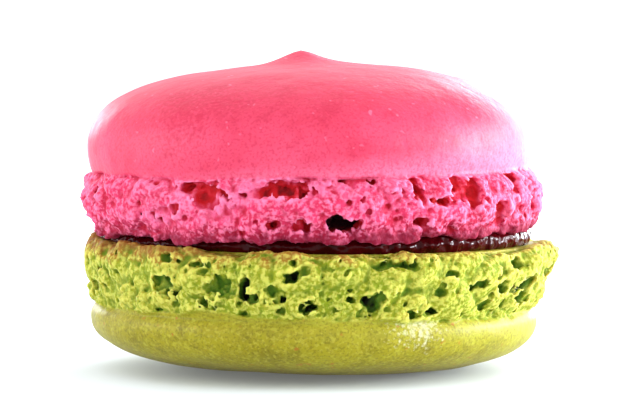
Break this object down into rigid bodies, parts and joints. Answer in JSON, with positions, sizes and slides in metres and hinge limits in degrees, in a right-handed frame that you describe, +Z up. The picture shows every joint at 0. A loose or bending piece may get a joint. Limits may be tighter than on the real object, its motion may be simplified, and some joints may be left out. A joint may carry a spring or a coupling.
{
  "type": "french macaron",
  "caption": "Round sandwich biscuit of two domed meringue shells with lumpy, pitted feet, a pink one on a green one, joined by a thin layer of dark jam.",
  "frame": {"origin": "on the flat spot that the macaron rests on, below the middle of the shells", "axes": "+Z up, from the green shell to the pink one; -Y is the side that faces the picture's camera and +X is its right"},
  "size_m": [0.0425, 0.0419, 0.028],
  "materials": {
    "green_meringue": "matt baked almond meringue, smooth skin and foamy foot",
    "dark_jam": "wet gloss",
    "pink_meringue": "matt baked almond meringue, smooth skin and foamy foot"
  },
  "bodies": {
    "root": {"lower_shell": "green_meringue", "jam_filling": "dark_jam", "upper_shell": "pink_meringue"}
  },
  "joints": []
}
